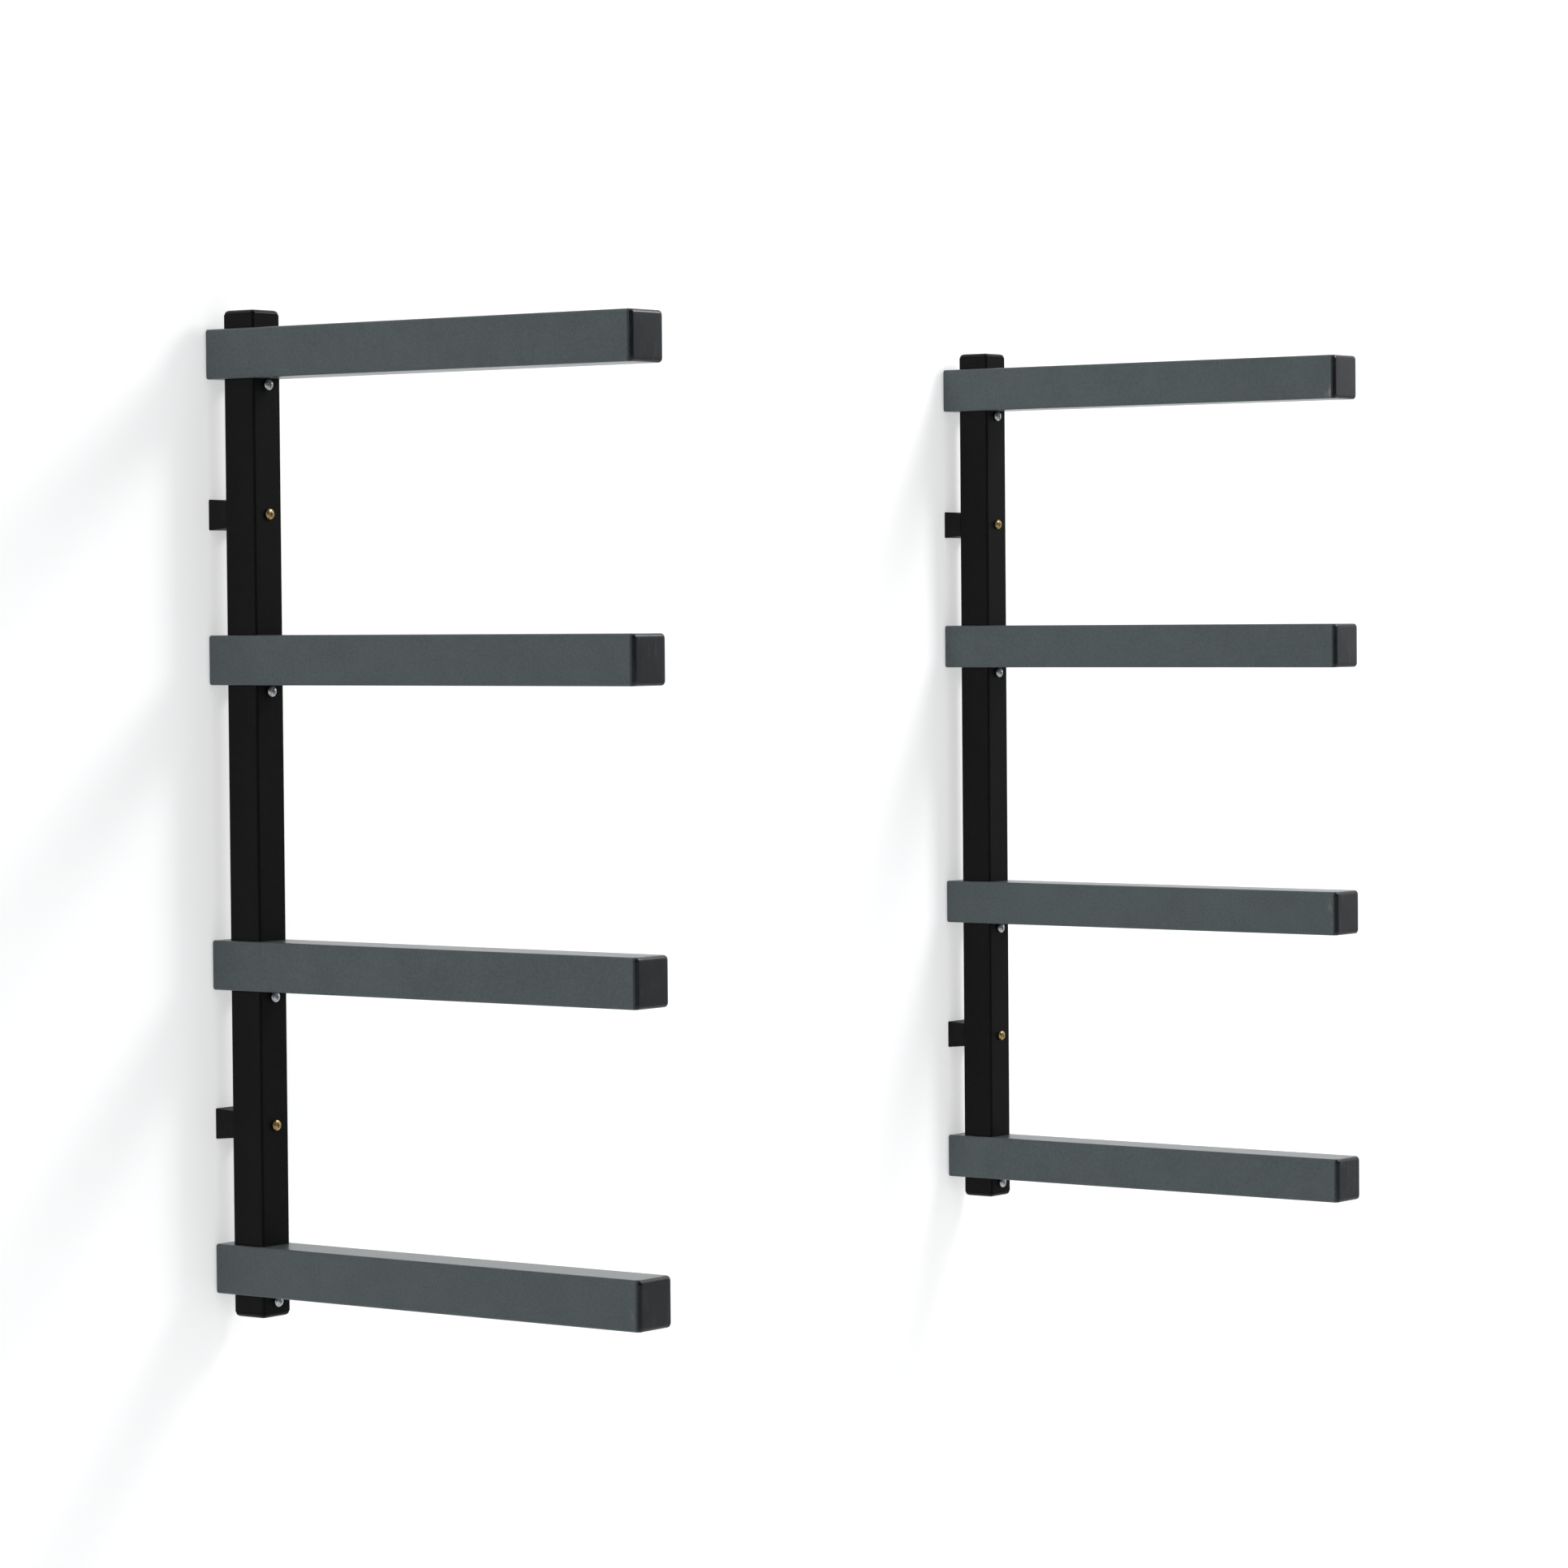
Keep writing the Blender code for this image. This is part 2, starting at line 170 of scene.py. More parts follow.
def rounded_rectangle(width, height, radius):
    """Points of a rectangle with round corners, anticlockwise."""
    points = []
    for quarter, (right, up) in enumerate(((1, 1), (-1, 1), (-1, -1), (1, -1))):
        centre_x = right * (width / 2 - radius)
        centre_y = up * (height / 2 - radius)
        for step in range(CORNER_STEPS + 1):
            angle = (quarter + step / CORNER_STEPS) * math.pi / 2
            point = (centre_x + radius * math.cos(angle), centre_y + radius * math.sin(angle))
            points.append(point)
    return points


def grown_rectangle(width, height, radius, grow):
    """The rounded rectangle grown by as much on each side, its corners with it."""
    return rounded_rectangle(width + 2 * grow, height + 2 * grow, radius + grow)


def upward(points, height):
    """Points of an outline seen from above, at this height."""
    return [(x, y, height) for x, y in points]


def downward(points, height):
    """Points of an outline seen from above, this far down."""
    return upward(points, -height)


def forward(points, height):
    """Points of an outline seen from the front, this far out from the wall side."""
    return [(x, -height, z) for x, z in points]


def backward(points, height):
    """Points of an outline seen from the front, this far in towards the wall."""
    return [(x, height, z) for x, z in points]


def loft(name, rings, looped=False):
    """A closed mesh through rings of as many points each. Looped joins the last ring to the first.
    Otherwise those two are filled."""
    built = bmesh.new()
    rows = [[built.verts.new(point) for point in ring] for ring in rings]
    count = len(rows[0])
    pairs = zip(rows, rows[1:] + rows[:1]) if looped else zip(rows, rows[1:])
    for low, high in pairs:
        for i in range(count):
            after = (i + 1) % count
            built.faces.new((low[i], low[after], high[after], high[i]))
    if not looped:
        built.faces.new(rows[0])
        built.faces.new(rows[-1])
    bmesh.ops.recalc_face_normals(built, faces=built.faces)
    mesh = bpy.data.meshes.new(name)
    built.to_mesh(mesh)
    built.free()
    return mesh


def boolean(mesh, others, operation):
    """The mesh after an exact Boolean with each of the others, (mesh, location), and with doubled
    points merged. It uses up the meshes that it is given."""
    body = bpy.data.objects.new("boolean_body", mesh)
    bpy.context.scene.collection.objects.link(body)
    tools = []
    for other, location in others:
        tool = bpy.data.objects.new("boolean_tool", other)
        bpy.context.scene.collection.objects.link(tool)
        tool.location = location
        modifier = body.modifiers.new("boolean", "BOOLEAN")
        modifier.operation = operation
        modifier.solver = "EXACT"
        modifier.object = tool
        tools.append(tool)
    bpy.context.view_layer.update()
    graph = bpy.context.evaluated_depsgraph_get()
    result = bpy.data.meshes.new_from_object(body.evaluated_get(graph))
    for obj in (body, *tools):
        bpy.data.objects.remove(obj, do_unlink=True)
    merged = bmesh.new()
    merged.from_mesh(result)
    bmesh.ops.remove_doubles(merged, verts=merged.verts, dist=DOUBLED)
    merged.to_mesh(result)
    merged.free()
    name = mesh.name
    for used in dict.fromkeys([mesh, *(other for other, _ in others)]):
        bpy.data.meshes.remove(used)
    result.name = name
    return result


def cut(mesh, cutters):
    """The mesh with each cutter, (mesh, location), taken out of it."""
    return boolean(mesh, cutters, "DIFFERENCE")


def finished(mesh, material, angle=SHARP_FROM):
    mesh.materials.clear()
    mesh.materials.append(material)
    mesh.shade_smooth()
    mesh.set_sharp_from_angle(angle=math.radians(angle))
    return mesh


def place(mesh, node, location):
    """A piece of this mesh, which stands for a CAD node and rides on the node's body."""
    body = frame["nodes"][node]["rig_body"]
    piece = bpy.data.objects.new(f"{node}_look", mesh)
    bpy.context.scene.collection.objects.link(piece)
    piece.location = location
    shading = piece.modifiers.new("even_shading", "WEIGHTED_NORMAL")
    shading.keep_sharp = True
    shading.weight = 100
    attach(piece, body)
    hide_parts(node)


def middle(node):
    low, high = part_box(node)
    return (low + high) / 2


# ---------------------------------------------------------------- procedural materials


OWN_SHIFT = (7.1, 3.3, 5.7)  # most that a piece's texture is moved, along each axis
CLOUDS_SHARE, MOTTLE_SHARE = 0.3, 0.7
PEEL_DEPTH = 1.6  # orange peel to grain
RUBBED_FADE = 0.006
RUBBED_MOST = 0.6
RUBBED_COLOUR = (0.25, 0.22, 0.19)


class Nodes:
    """Short calls for building one material's node tree."""

    def __init__(self, name):
        self.material = bpy.data.materials.new(name)
        self.material.use_nodes = True
        self.tree = self.material.node_tree
        self.shader = self.tree.nodes["Principled BSDF"]

    def node(self, kind, **settings):
        made = self.tree.nodes.new(kind)
        for name, value in settings.items():
            setattr(made, name, value)
        return made

    def link(self, source, target):
        self.tree.links.new(source, target)

    def own_place(self):
        """Object coordinates, moved by a number of the object's own so that no two pieces look
        alike."""
        where = self.node("ShaderNodeTexCoord").outputs["Object"]
        own = self.node("ShaderNodeObjectInfo").outputs["Random"]
        shift = self.node("ShaderNodeVectorMath", operation="SCALE")
        shift.inputs[0].default_value = OWN_SHIFT
        self.link(own, shift.inputs["Scale"])
        moved = self.node("ShaderNodeVectorMath", operation="ADD")
        self.link(where, moved.inputs[0])
        self.link(shift.outputs[0], moved.inputs[1])
        return moved.outputs[0]

    def noise(self, where, scale, detail, roughness=0.55, stretch=None):
        if stretch:
            mapping = self.node("ShaderNodeMapping")
            mapping.inputs["Scale"].default_value = stretch
            self.link(where, mapping.inputs["Vector"])
            where = mapping.outputs[0]
        made = self.node("ShaderNodeTexNoise")
        made.inputs["Scale"].default_value = scale
        made.inputs["Detail"].default_value = detail
        made.inputs["Roughness"].default_value = roughness
        self.link(where, made.inputs["Vector"])
        return made.outputs["Fac"]

    def ramp(self, value, stops):
        """Colours by value, between two stops of (position, colour)."""
        made = self.node("ShaderNodeValToRGB")
        self.link(value, made.inputs["Fac"])
        for element, (position, colour) in zip(made.color_ramp.elements, stops):
            element.position = position
            element.color = (*colour, 1.0)
        return made.outputs["Color"]

    def mix(self, share, first, second):
        """The colour this share of the way from the first to the second."""
        made = self.node("ShaderNodeMix", data_type="RGBA")
        self.connect(share, made.inputs["Factor"])
        self.connect(first, made.inputs[6])
        self.connect(second, made.inputs[7])
        return made.outputs[2]

    def connect(self, source, target):
        if isinstance(source, tuple):
            target.default_value = (*source, 1.0)
        elif isinstance(source, (int, float)):
            target.default_value = source
        else:
            self.link(source, target)

    def math(self, operation, first, second):
        made = self.node("ShaderNodeMath", operation=operation)
        self.connect(first, made.inputs[0])
        self.connect(second, made.inputs[1])
        return made.outputs[0]

    def gloss(self, value, low, high):
        """The shader's roughness: low where the value is 0 and high where it is 1."""
        made = self.node("ShaderNodeMapRange")
        self.link(value, made.inputs["Value"])
        made.inputs["To Min"].default_value = low
        made.inputs["To Max"].default_value = high
        self.link(made.outputs["Result"], self.shader.inputs["Roughness"])

    def ranged(self, value, start, end):
        """0 where the value is at start and 1 where it is at end."""
        made = self.node("ShaderNodeMapRange")
        self.link(value, made.inputs["Value"])
        made.inputs["From Min"].default_value = start
        made.inputs["From Max"].default_value = end
        return made.outputs["Result"]

    def bump(self, height, depth, under=None):
        """Adds a relief this deep, in metres, on top of another one."""
        made = self.node("ShaderNodeBump")
        made.inputs["Strength"].default_value = 1.0
        made.inputs["Distance"].default_value = depth
        self.link(height, made.inputs["Height"])
        if under:
            self.link(under, made.inputs["Normal"])
        self.link(made.outputs[0], self.shader.inputs["Normal"])
        return made.outputs[0]


def powder_coat(
    name, dark, light, roughness, specular, grain, tint=(1.0, 1.0, 1.0), rubbed_from=None
):
    """Baked powder paint: fine grain on a slow orange peel, with a little drift of tone and gloss.
    rubbed_from is the own y past which a few pale scuffs show, as at the front end of an arm."""
    made = Nodes(name)
    where = made.own_place()
    clouds = made.noise(where, scale=24.0, detail=2.0)
    mottle = made.noise(where, scale=420.0, detail=2.0)
    tone = made.math(
        "ADD",
        made.math("MULTIPLY", clouds, CLOUDS_SHARE),
        made.math("MULTIPLY", mottle, MOTTLE_SHARE),
    )
    paint = made.ramp(tone, ((0.36, dark), (0.64, light)))
    if rubbed_from:
        split = made.node("ShaderNodeSeparateXYZ")
        made.link(made.node("ShaderNodeTexCoord").outputs["Object"], split.inputs[0])
        at_end = made.ranged(split.outputs["Y"], rubbed_from, rubbed_from - RUBBED_FADE)
        patches = made.noise(where, scale=42.0, detail=4.0, roughness=0.6, stretch=(1.0, 1.0, 0.45))
        share = made.math("MULTIPLY", at_end, made.ranged(patches, 0.6, 0.66))
        paint = made.mix(made.math("MULTIPLY", share, RUBBED_MOST), paint, RUBBED_COLOUR)
    made.link(paint, made.shader.inputs["Base Color"])
    made.gloss(mottle, roughness - 0.05, roughness + 0.05)
    made.shader.inputs["Specular IOR Level"].default_value = specular
    made.shader.inputs["Specular Tint"].default_value = (*tint, 1.0)
    peel = made.bump(made.noise(where, scale=260.0, detail=1.0), grain * PEEL_DEPTH)
    made.bump(made.noise(where, scale=1300.0, detail=2.0), grain, under=peel)
    return made.material


def moulded_plastic(name, colour, scuffed, roughness, specular, tint=(1.0, 1.0, 1.0)):
    """Moulded plastic: a fine spark-eroded skin with faint scuffs."""
    made = Nodes(name)
    where = made.own_place()
    scuffs = made.noise(where, scale=130.0, detail=5.0, roughness=0.7, stretch=(1.0, 1.0, 0.25))
    tone = made.ramp(scuffs, ((0.52, colour), (0.78, scuffed)))
    made.link(tone, made.shader.inputs["Base Color"])
    made.gloss(scuffs, roughness - 0.06, roughness + 0.08)
    made.shader.inputs["Specular IOR Level"].default_value = specular
    made.shader.inputs["Specular Tint"].default_value = (*tint, 1.0)
    made.bump(made.noise(where, scale=1700.0, detail=2.0), depth=0.000012)
    return made.material


def plated(name, first, second, roughness):
    """Plated steel: blotches of the passivation on a very fine grain."""
    made = Nodes(name)
    where = made.own_place()
    blotches = made.noise(where, scale=520.0, detail=3.0)
    tone = made.ramp(blotches, ((0.35, first), (0.65, second)))
    made.link(tone, made.shader.inputs["Base Color"])
    made.gloss(blotches, roughness - 0.06, roughness + 0.1)
    made.shader.inputs["Metallic"].default_value = 1.0
    made.bump(made.noise(where, scale=2600.0, detail=1.0), depth=0.00001)
    return made.material


def one_sided(name, colour, shade, scale, depth, glow=0.0):
    """A matt painted surface of the set. Only its front shows, so that a camera behind it sees past
    it. glow evens out the shadows that fall on it, as lamps on the wall itself would."""
    made = Nodes(name)
    where = made.node("ShaderNodeTexCoord").outputs["Object"]
    drift = made.noise(where, scale=1.3, detail=2.0)
    made.link(made.ramp(drift, ((0.3, shade), (0.7, colour))), made.shader.inputs["Base Color"])
    made.shader.inputs["Roughness"].default_value = 0.9
    made.shader.inputs["Specular IOR Level"].default_value = 0.1
    made.shader.inputs["Emission Color"].default_value = (1.0, 1.0, 1.0, 1.0)
    made.shader.inputs["Emission Strength"].default_value = glow
    made.bump(made.noise(where, scale, detail=3.0), depth)
    clear = made.node("ShaderNodeBsdfTransparent")
    side = made.node("ShaderNodeNewGeometry").outputs["Backfacing"]
    mixed = made.node("ShaderNodeMixShader")
    made.link(side, mixed.inputs[0])
    made.link(made.shader.outputs[0], mixed.inputs[1])
    made.link(clear.outputs[0], mixed.inputs[2])
    made.link(mixed.outputs[0], made.tree.nodes["Material Output"].inputs["Surface"])
    return made.material


POST_PAINT = powder_coat(
    "post_paint",
    (0.0042, 0.0042, 0.0042),
    (0.006, 0.006, 0.006),
    roughness=0.42,
    specular=0.07,
    grain=0.00002,
)
ARM_PAINT = powder_coat(
    "arm_paint",
    (0.061, 0.073, 0.073),
    (0.08, 0.095, 0.096),
    roughness=0.3,
    specular=0.32,
    grain=0.000014,
    tint=(0.8, 0.93, 1.0),
    rubbed_from=-0.488,
)
CAP_PLASTIC = moulded_plastic(
    "cap_plastic",
    (0.0055, 0.006, 0.007),
    (0.024, 0.025, 0.027),
    roughness=0.25,
    specular=0.5,
    tint=(0.86, 0.93, 1.0),
)
POST_CAP_PLASTIC = moulded_plastic(
    "post_cap_plastic",
    (0.004, 0.004, 0.004),
    (0.008, 0.008, 0.007),
    roughness=0.32,
    specular=0.13,
)
SPACER_PLASTIC = moulded_plastic(
    "spacer_plastic",
    (0.0055, 0.0055, 0.005),
    (0.011, 0.011, 0.01),
    roughness=0.5,
    specular=0.12,
)
ZINC = plated("zinc_plate", (0.42, 0.45, 0.48), (0.66, 0.68, 0.7), roughness=0.18)
YELLOW_ZINC = plated(
    "yellow_zinc_plate", (0.42, 0.28, 0.11), (0.6, 0.44, 0.22), roughness=0.25
)


# ---------------------------------------------------------------- posts and arms


def sawn_tube(width, height, low, high, along):
    """Rings of an open tube with broken edges at both ends."""
    inner_width, inner_height = width - 2 * TUBE_WALL, height - 2 * TUBE_WALL
    outer = rounded_rectangle(width, height, TUBE_CORNER)
    outer_in = grown_rectangle(width, height, TUBE_CORNER, -CUT_EDGE)
    inner = rounded_rectangle(inner_width, inner_height, INNER_CORNER)
    inner_out = grown_rectangle(inner_width, inner_height, INNER_CORNER, CUT_EDGE)
    return [
        along(outer_in, low),
        along(outer, low + CUT_EDGE),
        along(outer, high - CUT_EDGE),
        along(outer_in, high),
        along(inner_out, high),
        along(inner, high - CUT_EDGE),
        along(inner, low + CUT_EDGE),
        along(inner_out, low),
    ]


def hole_cutter(outline_of, half_depth, along):
    """A cutter through both walls of a tube that also breaks the edges of the holes.
    outline_of(grow) is its outline, grown on each side."""
    rings = [(half_depth + CUTTER_PAST, CUT_EDGE + CUTTER_PAST), (half_depth - CUT_EDGE, 0.0)]
    return loft(
        "hole",
        [along(outline_of(grow), -height) for height, grow in rings]
        + [along(outline_of(grow), height) for height, grow in reversed(rings)],
    )


def post_mesh():
    low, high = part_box("left_post")
    size, centre = high - low, (low + high) / 2
    tube = loft("post", sawn_tube(size.x, size.y, -size.z / 2, size.z / 2, upward), looped=True)
    radius = BOLT_DIAMETER / 2 + HOLE_CLEARANCE
    hole = hole_cutter(lambda grow: circle(radius + grow), size.y / 2, forward)
    nodes = [f"left_stop_bolt_{n}" for n in range(1, ARM_COUNT + 1)]
    nodes += [f"left_{where}_wall_screw" for where in SCREW_PLACES]
    cutters = [(hole, (0, 0, middle(node).z - centre.z)) for node in nodes]
    return finished(cut(tube, cutters), POST_PAINT)


def arm_mesh():
    """Drawn round the post's axis, at the arm's middle height, with its closed and slightly domed
    back at +Y."""
    low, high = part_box("left_arm_1")
    post = middle("left_post")
    width, height = high.x - low.x, high.z - low.z
    back, front = high.y - post.y, post.y - low.y
    rings = []
    for share in DOME_RINGS:
        scaled = rounded_rectangle(
            (width - 2 * ARM_BACK_EDGE) * share,
            (height - 2 * ARM_BACK_EDGE) * share,
            (TUBE_CORNER - ARM_BACK_EDGE / 2) * share,
        )
        rings.append(forward(scaled, -back - ARM_BACK_DOME * (1 - share**2)))
    for step in range(CORNER_STEPS + 1):
        angle = step / CORNER_STEPS * math.pi / 2
        inset = ARM_BACK_EDGE * (1 - math.sin(angle))
        outline = rounded_rectangle(
            width - 2 * inset, height - 2 * inset, TUBE_CORNER - inset / 2
        )
        rings.append(forward(outline, ARM_BACK_EDGE * (1 - math.cos(angle)) - back))
    inner_width, inner_height = width - 2 * TUBE_WALL, height - 2 * TUBE_WALL
    for grow, at in ((0.0, front - CUT_EDGE), (-CUT_EDGE, front)):
        rings.append(forward(grown_rectangle(width, height, TUBE_CORNER, grow), at))
    for grow, at in ((CUT_EDGE, front), (0.0, front - CUT_EDGE), (0.0, TUBE_WALL - back)):
        rings.append(forward(grown_rectangle(inner_width, inner_height, INNER_CORNER, grow), at))
    post_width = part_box("left_post")[1].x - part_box("left_post")[0].x
    hole = hole_cutter(
        lambda grow: grown_rectangle(post_width, post_width, TUBE_CORNER, SLIDE_CLEARANCE + grow),
        height / 2,
        upward,
    )
    return finished(cut(loft("arm", rings), [(hole, (0, 0, 0))]), ARM_PAINT)


# ---------------------------------------------------------------- plugs in the tube ends


def plug_mesh(name, width, height, flange, insert_depth, edge, along, material):
    """Tube plug, its flange out from 0 and its finned hollow insert in from 0."""
    insert_width = width - 2 * TUBE_WALL - 2 * PLUG_CLEARANCE
    insert_height = height - 2 * TUBE_WALL - 2 * PLUG_CLEARANCE

    def insert(grow):
        return grown_rectangle(insert_width, insert_height, INNER_CORNER, grow)

    hollow = rounded_rectangle(
        insert_width - 2 * PLUG_WALL, insert_height - 2 * PLUG_WALL, INNER_CORNER
    )
    rings = [along(hollow, FACE_GAP), along(hollow, -insert_depth)]
    rings.append(along(insert(-PLUG_LEAD / 2), -insert_depth))
    rings.append(along(insert(0.0), -insert_depth + PLUG_LEAD))
    pitch = (insert_depth - 2 * PLUG_LEAD) / (FIN_COUNT + 0.5)
    for fin in range(FIN_COUNT):
        start = -insert_depth + 2 * PLUG_LEAD + fin * pitch
        for share, rise in FIN_STOPS:
            rings.append(along(insert(FIN_HEIGHT * rise), start + pitch * share))
    rings.append(along(insert(0.0), PLUG_SEAT))
    top = flange - PLUG_CROWN
    rise = min(edge, top - 2 * FACE_GAP)
    for inset, at in ((PLUG_BROKEN_EDGE, PLUG_SEAT), (0.0, PLUG_SEAT + PLUG_BROKEN_EDGE)):
        outline = rounded_rectangle(width - 2 * inset, height - 2 * inset, PLUG_CORNER)
        rings.append(along(outline, at))
    for step in range(RIM_STEPS + 1):
        angle = step / RIM_STEPS * math.pi / 2
        inset = edge * (1 - math.cos(angle))
        outline = rounded_rectangle(width - 2 * inset, height - 2 * inset, PLUG_CORNER - inset / 2)
        rings.append(along(outline, top - rise * (1 - math.sin(angle))))
    face_width, face_height, corner = width - 2 * edge, height - 2 * edge, PLUG_CORNER - edge / 2
    for share in PLUG_FACE_RINGS:
        outline = rounded_rectangle(face_width * share, face_height * share, corner * share)
        rings.append(along(outline, top + PLUG_CROWN * (1 - share**2)))
    return finished(loft(name, rings), material)


# ---------------------------------------------------------------- bolts, nuts and screws


def head_profile(radius, height):
    """(radius, height) pairs of a pan head from its seat to the middle of its crown."""
    side, crown = height * HEAD_SIDE, radius * HEAD_CROWN
    shoulder = height * HEAD_SHOULDER
    profile = [(radius - HEAD_EDGE, 0.0), (radius, HEAD_EDGE), (radius, side)]
    for step in range(1, CORNER_STEPS + 1):
        angle = step / CORNER_STEPS * math.pi / 2
        profile.append(
            (radius - crown * (1 - math.cos(angle)), side + (shoulder - side) * math.sin(angle))
        )
    inner = radius - crown
    for share in reversed(DOME_RINGS):
        profile.append((inner * share, shoulder + (height - shoulder) * (1 - share**2)))
    return profile


def recess_cutter(head_radius, head_height):
    """Cutter of a cross recess, whose wings narrow and slope inwards from 0 down to its floor."""
    width, slot = head_radius * RECESS_WIDTH, head_radius * RECESS_SLOT
    depth = head_height * RECESS_DEPTH
    rings = []
    stops = [(-depth * share, reach, wing) for share, reach, wing in RECESS_STOPS]
    for height, reach, wing in (*stops, (CUTTER_PAST, 1.0, 1.0)):
        arm, half = width / 2 * reach, slot / 2 * wing
        fillet = half * RECESS_FILLET
        plus = []
        for quarter in range(4):
            turn = Matrix.Rotation(quarter * math.pi / 2, 2)
            for point in ((arm, -half), (arm, half), (fillet, half), (half, fillet)):
                plus.append(tuple(turn @ Vector(point)))
        rings.append(forward(plus, height))
    return loft("recess", rings)


def thread_rings(core, crest, pitch, start, end, point, fade):
    """Rings of a thread from start down to end, both heights. point is the length over which it
    narrows to a point, and fade the length over which its crest grows at both ends. The rows are
    one step of a turn apart, so that the crest runs through the corners of the faces."""
    step = pitch / THREAD_POINTS
    rows = int((start - end) / step)
    rings = []
    for row in range(rows + 1):
        height = start - row * step
        grown = min(1.0, (start - height) / fade, max(0.0, (height - end) / fade))
        taper = min(1.0, (height - end) / point + POINT_END) if point else 1.0
        ring = []
        for i in range(THREAD_POINTS):
            phase = ((row + i) % THREAD_POINTS) / THREAD_POINTS
            rise = max(0.0, 1 - abs(phase - 0.5) / CREST_HALF)
            radius = (core + (crest - core) * rise * grown) * taper
            angle = 2 * math.pi * i / THREAD_POINTS
            ring.append((radius * math.cos(angle), radius * math.sin(angle)))
        rings.append(forward(ring, height))
    return rings


def fastener_mesh(name, head_radius, head_height, shank, threads, material):
    """Pan-headed fastener seated at 0, its head out to the front and its threads behind."""
    head = [
        forward(circle(radius, THREAD_POINTS * 2), height)
        for radius, height in head_profile(head_radius, head_height)
    ]
    recess = recess_cutter(head_radius, head_height)
    top = cut(loft(name + "_head", head), [(recess, (0, -head_height, 0))])
    under = [forward(circle(shank, THREAD_POINTS), at) for at in (SHAFT_OVERLAP, -SHAFT_RING)]
    shaft = loft(name + "_shaft", under + threads)
    result = boolean(top, [(shaft, (0, 0, 0))], "UNION")
    result.name = name
    return finished(result, material, HEAD_SHARP_FROM)


def stop_bolt_mesh():
    low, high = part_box("left_stop_bolt_1")
    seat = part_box("left_post")[0].y - FACE_GAP
    head_radius, head_height = (high.x - low.x) / 2, seat - low.y
    length = high.y - seat
    radius = BOLT_DIAMETER / 2
    start = BOLT_THREAD - length
    threads = [forward(circle(radius, THREAD_POINTS), start + BOLT_RUN_IN)]
    threads += thread_rings(
        core=radius * BOLT_CORE,
        crest=radius,
        pitch=BOLT_PITCH,
        start=start,
        end=BOLT_CHAMFER - length,
        point=0,
        fade=BOLT_FADE,
    )
    threads.append(forward(circle(radius * BOLT_END, THREAD_POINTS), -length))
    return fastener_mesh("stop_bolt", head_radius, head_height, radius, threads, ZINC)


def wall_screw_mesh():
    low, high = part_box("left_upper_wall_screw")
    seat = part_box("left_post")[0].y - FACE_GAP
    head_radius, head_height = (high.x - low.x) / 2, seat - low.y
    length = high.y - seat
    shank = SCREW_SHANK / 2
    start = SCREW_THREAD - length
    threads = [forward(circle(shank, THREAD_POINTS), start + SCREW_RUN_IN)]
    threads += thread_rings(
        core=SCREW_CORE / 2,
        crest=SCREW_DIAMETER / 2,
        pitch=SCREW_PITCH,
        start=start,
        end=SCREW_TIP - length,
        point=SCREW_POINT,
        fade=SCREW_FADE,
    )
    threads.append(forward(circle(SCREW_TIP_RADIUS, THREAD_POINTS), -length))
    return fastener_mesh("wall_screw", head_radius, head_height, shank, threads, YELLOW_ZINC)


def nut_mesh():
    """Hexagon nut with its corners turned off at both faces, from the post's back face at 0."""
    low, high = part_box("left_stop_nut_1")
    flats, height = high.z - low.z, high.y - low.y
    bore, mouth = BOLT_DIAMETER / 2 + NUT_BORE_PLAY, BOLT_DIAMETER / 2 + NUT_MOUTH
    turned = flats / 2 * NUT_TURNED
    slope = math.tan(math.radians(NUT_CHAMFER))
    hexagon, drop = [], []
    for i in range(NUT_POINTS):
        angle = 2 * math.pi * i / NUT_POINTS
        off_flat = (angle + math.pi / 6) % (math.pi / 3) - math.pi / 6
        reach = flats / 2 / math.cos(math.pi / 6 - abs(off_flat))
        hexagon.append((reach * math.cos(angle), reach * math.sin(angle)))
        drop.append((reach - turned) * slope)
    near_side = [(x, fall, z) for (x, z), fall in zip(hexagon, drop)]
    far_side = [(x, height - fall, z) for (x, z), fall in zip(hexagon, drop)]
    near_face = [(bore, NUT_MOUTH_DEPTH), (mouth, 0.0), (turned, 0.0)]
    far_face = [(turned, height), (mouth, height), (bore, height - NUT_MOUTH_DEPTH)]
    rings = [backward(circle(radius, NUT_POINTS), at) for radius, at in near_face]
    rings += [near_side, far_side]
    rings += [backward(circle(radius, NUT_POINTS), at) for radius, at in far_face]
    return finished(loft("stop_nut", rings, looped=True), ZINC, NUT_SHARP_FROM)


# ---------------------------------------------------------------- spacers


